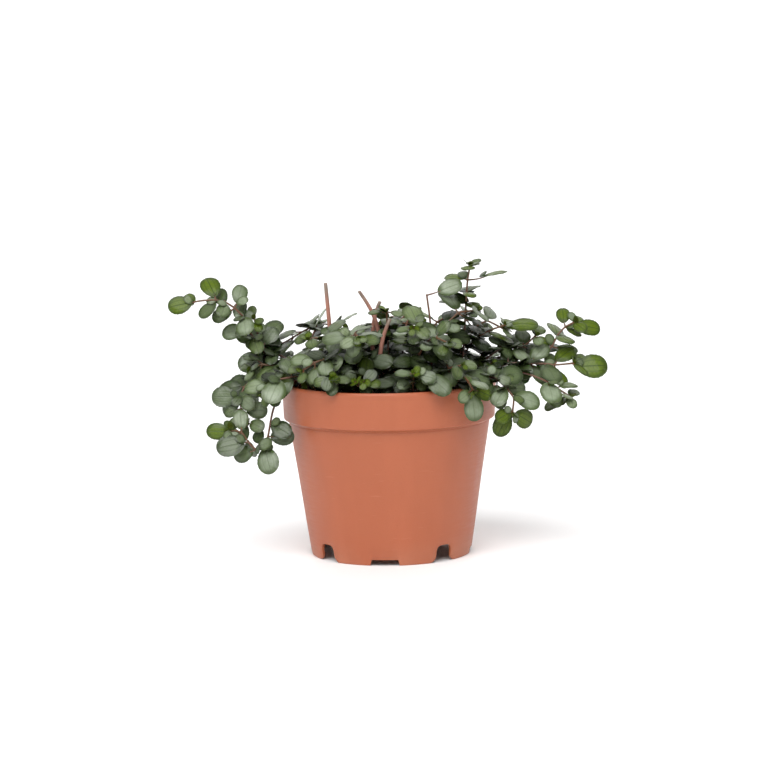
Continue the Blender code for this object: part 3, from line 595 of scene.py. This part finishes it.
def side_leaves(batch, blades, draw):
    """Small new leaves in the angles between the stem and the older leaves."""
    for blade in blades:
        if draw.random() > SIDE_LEAF_SHARE:
            continue
        length = SIDE_LEAF_LENGTH * draw.uniform(0.7, 1.25)
        turn = draw.choice((-1, 1)) * draw.uniform(0.7, 1.3)
        axis = Matrix.Rotation(turn, 3, blade.normal) @ blade.axis + blade.normal * draw.uniform(0.1, 0.6)
        normal = blade.normal + Vector([draw.uniform(-0.3, 0.3) for _ in range(3)])
        base = blade.base - blade.axis * 0.0012 + blade.normal * 0.0006
        small = Blade(base, axis, normal, length, 0.45 * length, 0.3)
        # An added side leaf takes most of the painted shade of the leaf beside it.
        small.painted_shade = 0.8 * blade.painted_shade
        if clear_of_pot(small):
            batch.add(small, draw, draw.choice((0.0, 0.15, 0.5)), rows=12, columns=6)


def mesh_object(name, points, faces, materials, crease=48.0):
    mesh = bpy.data.meshes.new(name)
    mesh.from_pydata([tuple(point) for point in points], [], faces)
    for made_of in materials:
        mesh.materials.append(made_of)
    mesh.shade_smooth()
    mesh.set_sharp_from_angle(angle=math.radians(crease))
    obj = bpy.data.objects.new(name, mesh)
    bpy.context.scene.collection.objects.link(obj)
    return obj


def final_mesh(obj):
    """The object with its modifiers applied."""
    graph = bpy.context.evaluated_depsgraph_get()
    mesh = bpy.data.meshes.new_from_object(obj.evaluated_get(graph), preserve_all_data_layers=True,
                                           depsgraph=graph)
    obj.modifiers.clear()
    obj.data = mesh
    return obj


def build_stem(name, shape, made_of, flat_ends):
    mesh = bpy.data.meshes.new(name)
    crease = shape.edges.layers.float.new("crease_edge")
    if flat_ends:
        for face in shape.faces:
            if all(len(edge.link_faces) == 2 and edge.calc_face_angle() > 1.2 for edge in face.edges):
                for edge in face.edges:
                    edge[crease] = 0.9
    shape.normal_update()
    growth = CUT_STEM_GROWTH if flat_ends else STEM_GROWTH
    moves = [(point, point.normal.copy()) for point in shape.verts]
    for point, outwards in moves:
        point.co += (outwards - Vector((0, 0, outwards.z)) if flat_ends else outwards) * growth
    shape.to_mesh(mesh)
    shape.free()
    mesh.materials.append(made_of)
    obj = bpy.data.objects.new(name, mesh)
    bpy.context.scene.collection.objects.link(obj)
    smooth = obj.modifiers.new("round", "SUBSURF")
    smooth.levels = smooth.render_levels = 2
    final_mesh(obj)
    obj.data.shade_smooth()
    return obj


def joined(name, parts):
    """One object out of several meshes, which keeps their materials and attributes."""
    with bpy.context.temp_override(active_object=parts[0], selected_editable_objects=parts):
        bpy.ops.object.join()
    parts[0].name = name
    return parts[0]


def paint_leaf_shade(blades):
    """Gives each leaf painted shade from how many others hang over it, which darkens the leaf's colour."""
    middles = [blade.middle() for blade in blades]
    for blade, here in zip(blades, middles):
        over = 0.0
        for there in middles:
            rise = there.z - here.z
            if SHADE_RISE[0] < rise < SHADE_RISE[1] and (there - here).xy.length < SHADE_REACH + 0.25 * rise:
                over += 1
        inwards = max(0.0, min(1.0, (SHADE_EDGE - here.xy.length) / SHADE_BLUR))
        blade.painted_shade = max(0.0, min(1.0, (over - 1) / SHADE_COUNT)) * (0.25 + 0.75 * inwards)


def inner_leaves(batch, inside, soil_top, draw):
    """Small old leaves low on the stem, which close the gaps between the outer ones, darkened with heavy
    painted shade.
    """
    if not inside:
        return
    for _ in range(INNER_LEAVES):
        place = draw.choice(inside)
        angle = draw.uniform(0, 2 * math.pi)
        axis = Vector((math.cos(angle), math.sin(angle), draw.uniform(-0.1, 0.5)))
        normal = Vector((draw.uniform(-0.5, 0.5), draw.uniform(-0.5, 0.5), 1))
        length = INNER_LEAF_LENGTH * draw.uniform(0.7, 1.15)
        blade = Blade(place, axis, normal, length, 0.46 * length, 0.9)
        # Inner leaves get heavy painted shade, which darkens their colour.
        blade.painted_shade = draw.uniform(0.75, 1.0)
        near = place.z > soil_top + INNER_LEAF_RISE and place.xy.length < INNER_LEAF_RADIUS
        if near and clear_of_pot(blade):
            batch.add(blade, draw, 0.0, rows=12, columns=6)


def build_petioles(name, blades, made_of):
    """A thin curved stalk from the stem to the base of each leaf."""
    points, faces, shares = [], [], []
    for blade in blades:
        reach = blade.base - blade.foot
        start = blade.foot - reach * 0.15
        end = blade.base + blade.axis * 0.0005 - blade.normal * 0.0001
        bend = (start + end) / 2 - blade.normal * 0.12 * reach.length
        side = reach.orthogonal().normalized()
        other = reach.normalized().cross(side)
        first = len(points)
        for k in range(PETIOLE_STEPS + 1):
            t = k / PETIOLE_STEPS
            place = start * (1 - t) ** 2 + bend * 2 * t * (1 - t) + end * t * t
            radius = PETIOLE_RADIUS * (1.25 - 0.6 * t)
            for corner in range(PETIOLE_SIDES):
                angle = 2 * math.pi * corner / PETIOLE_SIDES
                points.append(place + (side * math.cos(angle) + other * math.sin(angle)) * radius)
                shares.append(max(0.0, 1 - blade.age))
        for k in range(PETIOLE_STEPS):
            for corner in range(PETIOLE_SIDES):
                after = (corner + 1) % PETIOLE_SIDES
                low, high = first + k * PETIOLE_SIDES, first + (k + 1) * PETIOLE_SIDES
                faces.append((low + corner, low + after, high + after, high + corner))
        faces.append(tuple(first + corner for corner in reversed(range(PETIOLE_SIDES))))
        faces.append(tuple(first + PETIOLE_STEPS * PETIOLE_SIDES + corner for corner in range(PETIOLE_SIDES)))
    stalks = mesh_object(name, points, faces, [made_of], 70.0)
    attribute_values(stalks.data, {"stem_share": shares})
    return stalks


def build_shoot(node, read, soil_top, foliage, live_stem, bare_stem, draw):
    shape, blades, tip, inside = read
    cut = node.startswith("cut_stem")
    stem = build_stem(f"{node}_stem", shape, bare_stem if cut else live_stem, cut)
    parts = [stem]
    if not cut:
        if blades:
            parts.append(build_petioles(f"{node}_stalks", blades, live_stem))
        batch = LeafBatch()
        longest = max((blade.length for blade in blades), default=0.01)
        for blade in blades:
            small = max(0.0, min(1.0, (1.05 - blade.length / longest) / 0.35))
            young = max(0.0, 1 - blade.age / FRESH_AGE) * small
            fresh = 1.0 if blade.age < BRIGHT_TIPS.get(node, -1) else 0.45 * young
            blade.half_width *= draw.uniform(*BLADE_WIDTHS)
            batch.add(blade, draw, min(1.0, fresh + (0.6 if draw.random() < BRIGHT_SHARE else 0.0)))
        if node != "shoot_right_bare":
            tip_leaves(batch, tip, draw)
            side_leaves(batch, blades, draw)
            inner_leaves(batch, inside, soil_top, draw)
        leaves = mesh_object(f"{node}_leaves", batch.points, batch.faces, [foliage], 60.0)
        attribute_values(leaves.data, batch.values)
        parts.insert(0, leaves)
    piece = joined(f"{node}_live", parts)
    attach(piece, "root")
    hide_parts(node)


# Pot and soil


def revolved(profile, sides):
    """Points and faces of a profile of (radius, height) that starts and ends on the axis."""
    points = [Vector((0, 0, profile[0][1]))]
    for radius, height in profile[1:-1]:
        for k in range(sides):
            angle = 2 * math.pi * k / sides
            points.append(Vector((radius * math.sin(angle), -radius * math.cos(angle), height)))
    points.append(Vector((0, 0, profile[-1][1])))
    last = len(points) - 1
    rings = len(profile) - 2
    faces = []
    for k in range(sides):
        after = (k + 1) % sides
        faces.append((0, 1 + after, 1 + k))
        faces.append((last, 1 + (rings - 1) * sides + k, 1 + (rings - 1) * sides + after))
        for ring in range(rings - 1):
            low, high = 1 + ring * sides, 1 + (ring + 1) * sides
            faces.append((low + k, low + after, high + after, high + k))
    return points, faces


def softened(profile, radius, steps=3):
    """The profile with each inner corner replaced by a short curve."""
    made = [profile[0]]
    for before, corner, after in zip(profile, profile[1:], profile[2:]):
        a, b, c = Vector(before), Vector(corner), Vector(after)
        reach = min(radius, 0.45 * (b - a).length, 0.45 * (c - b).length)
        first = b + (a - b).normalized() * reach
        last = b + (c - b).normalized() * reach
        for k in range(steps + 1):
            t = k / steps
            made.append(tuple(first * (1 - t) ** 2 + b * 2 * t * (1 - t) + last * t * t))
    made.append(profile[-1])
    return made


def build_pot(made_of):
    low, high = (Vector(corner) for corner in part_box("pot"))
    rim = (high.x - low.x) / 2
    top = high.z
    step = top - COLLAR_HEIGHT
    collar = rim - COLLAR_TAPER
    neck = collar - COLLAR_STEP

    def body(height):
        return BASE_RADIUS + (neck - BASE_RADIUS) * height / step

    floor = FLOOR_HEIGHT + WALL
    profile = [
        (0, FLOOR_HEIGHT),
        (body(FLOOR_HEIGHT) - 1.3 * WALL, FLOOR_HEIGHT),
        (BASE_RADIUS - WALL, 0.0003),
        (BASE_RADIUS - WALL + 0.0003, 0),
        (BASE_RADIUS - 0.0004, 0),
        (BASE_RADIUS, 0.0005),
        (body(ARCH_HEIGHT + 0.003), ARCH_HEIGHT + 0.003),
        (body(0.3 * step), 0.3 * step),
        (body(0.6 * step), 0.6 * step),
        (body(step) - 0.0001, step - 0.0024),
        (body(step) - 0.0003, step - 0.0016),
        (neck + 0.4 * COLLAR_STEP, step - 0.0008),
        (collar - 0.0001, step - 0.0002),
        (collar, step + 0.0009),
        (rim - 0.0004, top - 0.0040),
        (rim, top - 0.0018),
        (rim - 0.0003, top - 0.0006),
        (rim - 0.0011, top),
        (rim - 0.0020, top - 0.0004),
        (collar - WALL, top - 0.0020),
        (collar - WALL, step + COLLAR_STEP / 1.2),
        (neck - WALL, step),
        (body(floor) - WALL, floor),
        (0, floor),
    ]
    points, faces = revolved(softened(profile, 0.0006), POT_SIDES)
    pot = mesh_object("pot_moulded", points, faces, [made_of])
    cutters = []
    reach = BASE_RADIUS + 0.01
    notch = [(0.5 * NOTCH_WIDTH + 0.0006, -0.001), (0.5 * NOTCH_WIDTH - 0.0006, NOTCH_HEIGHT),
             (-0.5 * NOTCH_WIDTH + 0.0006, NOTCH_HEIGHT), (-0.5 * NOTCH_WIDTH - 0.0006, -0.001)]
    for angle in ARCH_ANGLES:
        cutters.append(bar(arch_outline(), angle, BASE_RADIUS - 0.012, reach))
        cutters.append(bar(notch, angle + NOTCH_TURN, BASE_RADIUS - 0.009, reach))
        drill_low, drill_high = FLOOR_HEIGHT - 0.003, floor + 0.003
        drill = mesh_object("drill", *revolved(
            [(0, drill_low), (DRAIN_RADIUS, drill_low), (DRAIN_RADIUS, drill_high), (0, drill_high)], 32), [])
        drill.location = Matrix.Rotation(math.radians(angle), 4, "Z") @ Vector((0, -DRAIN_RING, 0))
        cutters.append(drill)
    for cutter in cutters:
        modifier = pot.modifiers.new("cut", "BOOLEAN")
        modifier.operation = "DIFFERENCE"
        modifier.solver = "EXACT"
        modifier.object = cutter
    bpy.context.view_layer.update()
    final_mesh(pot)
    for cutter in cutters:
        bpy.data.objects.remove(cutter, do_unlink=True)
    bevel = pot.modifiers.new("edges", "BEVEL")
    bevel.width = 0.00025
    bevel.segments = 2
    bevel.limit_method = "ANGLE"
    bevel.angle_limit = math.radians(50)
    bevel.use_clamp_overlap = True
    final_mesh(pot)
    pot.data.shade_smooth()
    pot.data.set_sharp_from_angle(angle=math.radians(35))
    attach(pot, "root")
    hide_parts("pot")
    return pot


def arch_outline():
    """The arched gap between two feet, with the corners of the feet rounded off."""
    half, high = 0.5 * ARCH_WIDTH, ARCH_HEIGHT
    right = [(half + FOOT_CORNER, -0.001)]
    for k in range(8):
        turn = math.radians(90 * k / 7)
        right.append((half + FOOT_CORNER * (1 - math.sin(turn)), FOOT_CORNER * (1 - math.cos(turn))))
    right += [(0.985 * half, 0.68 * high), (0.93 * half, 0.81 * high), (0.80 * half, 0.92 * high),
              (0.58 * half, 0.98 * high), (0.30 * half, high)]
    return right + [(-x, z) for x, z in reversed(right)]


def bar(outline, angle, near, far):
    """A bar of this (across, up) outline that reaches from near to far in the direction of angle."""
    turn = Matrix.Rotation(math.radians(angle), 4, "Z")
    points = [turn @ Vector((x, -depth, z)) for depth in (near, far) for x, z in outline]
    count = len(outline)
    faces = [tuple(range(count)), tuple(range(2 * count - 1, count - 1, -1))]
    faces += [(k, (k + 1) % count, count + (k + 1) % count, count + k) for k in range(count)]
    obj = mesh_object("bar", points, faces, [])
    shape = bmesh.new()
    shape.from_mesh(obj.data)
    bmesh.ops.recalc_face_normals(shape, faces=shape.faces)
    shape.to_mesh(obj.data)
    shape.free()
    return obj


def ground(x, y):
    """Lumps of the soil's surface."""
    lump = noise.fractal(Vector((x, y, 0.3)) * 120, 0.9, 2.1, 4) * 0.0009
    return lump + abs(noise.noise(Vector((x, y, 1.7)) * 320)) * 0.0008


def build_soil(made_of, loose, draw):
    low, high = (Vector(corner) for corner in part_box("soil"))
    edge = (high.x - low.x) / 2 - 0.0004
    rings, sides = SOIL_RINGS, SOIL_SIDES

    def top(x, y):
        share = min(1.0, math.hypot(x, y) / edge)
        return high.z - SOIL_CROWN * share * share - 0.0006 + ground(x, y)

    bottom = SOIL_FOOT_RADIUS
    flank = [(bottom, low.z), (0.6 * (edge - bottom) + bottom, 0.5 * (low.z + high.z))]
    points, faces = [], []
    for radius, height in flank:
        for k in range(sides):
            angle = 2 * math.pi * k / sides
            points.append(Vector((radius * math.sin(angle), -radius * math.cos(angle), height)))
    for ring in range(rings):
        radius = edge * (1 - ring / rings)
        for k in range(sides):
            angle = 2 * math.pi * k / sides
            x, y = radius * math.sin(angle), -radius * math.cos(angle)
            points.append(Vector((x, y, top(x, y) - (0.0012 if ring == 0 else 0))))
    count = len(points) // sides
    for ring in range(count - 1):
        for k in range(sides):
            after = (k + 1) % sides
            a, b = ring * sides, (ring + 1) * sides
            faces.append((a + k, a + after, b + after, b + k))
    points += [Vector((0, 0, low.z)), Vector((0, 0, top(0, 0)))]
    last = (count - 1) * sides
    for k in range(sides):
        after = (k + 1) % sides
        faces.append((len(points) - 2, after, k))
        faces.append((last + k, last + after, len(points) - 1))
    soil = mesh_object("soil_surface", points, faces, [made_of], 80.0)
    crumbs = scatter(top, edge, loose, draw)
    for piece in (soil, crumbs):
        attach(piece, "root")
        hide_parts("soil")


def scatter(top, edge, made_of, draw):
    """Crumbs and short fibres lying on the soil."""
    template = bmesh.new()
    bmesh.ops.create_icosphere(template, subdivisions=1, radius=1.0)
    corners = [v.co.copy() for v in template.verts]
    sides = [tuple(v.index for v in f.verts) for f in template.faces]
    template.free()
    points, faces, tones = [], [], []
    for _ in range(CRUMBS):
        radius = edge * 0.985 * math.sqrt(draw.random())
        angle = draw.uniform(0, 2 * math.pi)
        x, y = radius * math.sin(angle), -radius * math.cos(angle)
        size = draw.uniform(0.0003, 0.0011)
        long = draw.choice((1.0, 1.2, 1.5, 3.2))
        turn = Matrix.Rotation(draw.uniform(0, 6.28), 3, "Z")
        turn = turn @ Matrix.Rotation(draw.uniform(-0.4, 0.4), 3, "Y")
        scale = Vector((size * long, size * draw.uniform(0.5, 1.0) / long ** 0.5, size * 0.6 / long ** 0.5))
        start = len(points)
        tone = draw.random()
        for corner in corners:
            rough = 1 + 0.5 * noise.noise(corner * 1.7 + Vector((x, y, 0)) * 900)
            points.append(turn @ (corner * scale * rough) + Vector((x, y, top(x, y) + 0.25 * size)))
            tones.append(tone)
        faces += [tuple(start + k for k in side) for side in sides]
    crumbs = mesh_object("soil_crumbs", points, faces, [made_of], 80.0)
    attribute_values(crumbs.data, {"crumb_tone": tones})
    return crumbs


# Studio


def build_floor():
    """A round floor that curves up into a low wall all round."""
    sides = 96
    profile = [(FLOOR_RADIUS, 0.0)]
    for k in range(1, 13):
        turn = math.radians(7.5 * k)
        profile.append((FLOOR_RADIUS + FLOOR_BEND * math.sin(turn), FLOOR_BEND * (1 - math.cos(turn))))
    profile.append((FLOOR_RADIUS + FLOOR_BEND, WALL_TOP))
    points = [Vector((0, 0, 0))]
    for radius, height in profile:
        for k in range(sides):
            angle = 2 * math.pi * k / sides
            points.append(Vector((radius * math.cos(angle), radius * math.sin(angle), height)))
    faces = [(0, 1 + k, 1 + (k + 1) % sides) for k in range(sides)]
    for ring in range(len(profile) - 1):
        for k in range(sides):
            low, high, after = 1 + ring * sides, 1 + (ring + 1) * sides, (k + 1) % sides
            faces.append((low + k, high + k, high + after, low + after))
    mesh_object("studio_floor", points, faces, [floor_material()], 180.0)


def build_studio():
    build_floor()
    world = bpy.data.worlds.new("studio")
    world.use_nodes = True
    world.node_tree.nodes["Background"].inputs["Color"].default_value = (1, 1, 1, 1)
    world.node_tree.nodes["Background"].inputs["Strength"].default_value = SKY
    bpy.context.scene.world = world
    for name, azimuth, elevation, strength, spread in LAMPS:
        lamp = bpy.data.lights.new(name, "SUN")
        lamp.energy = strength
        lamp.angle = math.radians(spread)
        obj = bpy.data.objects.new(name, lamp)
        flat, rise = math.radians(azimuth), math.radians(elevation)
        towards = Vector((math.sin(flat) * math.cos(rise), -math.cos(flat) * math.cos(rise), math.sin(rise)))
        obj.rotation_euler = towards.to_track_quat("Z", "Y").to_euler()
        bpy.context.scene.collection.objects.link(obj)
    view = bpy.context.scene.view_settings
    view.view_transform = "Standard"
    view.look = "None"


def build_camera():
    tilt = math.radians(CAMERA_TILT)
    forward = Vector((0, math.cos(tilt), -math.sin(tilt)))
    right = Vector((1, 0, 0))
    up = right.cross(forward)
    turn = Matrix((right, up, -forward)).transposed().to_4x4()
    turn.translation = Vector(CAMERA_TARGET) - forward * CAMERA_DISTANCE
    data = bpy.data.cameras.new("camera")
    data.sensor_width = 36
    data.lens = CAMERA_LENS
    data.clip_end = 20
    data.dof.use_dof = False
    camera = bpy.data.objects.new("camera", data)
    camera.matrix_world = turn @ Matrix.Rotation(math.radians(CAMERA_ROLL), 4, "Z")
    bpy.context.scene.collection.objects.link(camera)
    bpy.context.scene.camera = camera


def main():
    draw = random.Random(SEED)
    build_camera()
    build_studio()
    build_pot(pot_material())
    build_soil(soil_material(), crumb_material(), draw)
    soil_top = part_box("soil")[1][2]
    foliage, live_stem, bare_stem = leaf_material(), stem_material(), cut_stem_material()
    shoots = {node: read_shoot(node, soil_top) for node in sorted(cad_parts)
              if node.startswith(("shoot_", "cut_stem_"))}
    paint_leaf_shade([blade for read in shoots.values() for blade in read[1]])
    for node, read in shoots.items():
        build_shoot(node, read, soil_top, foliage, live_stem, bare_stem, draw)


main()
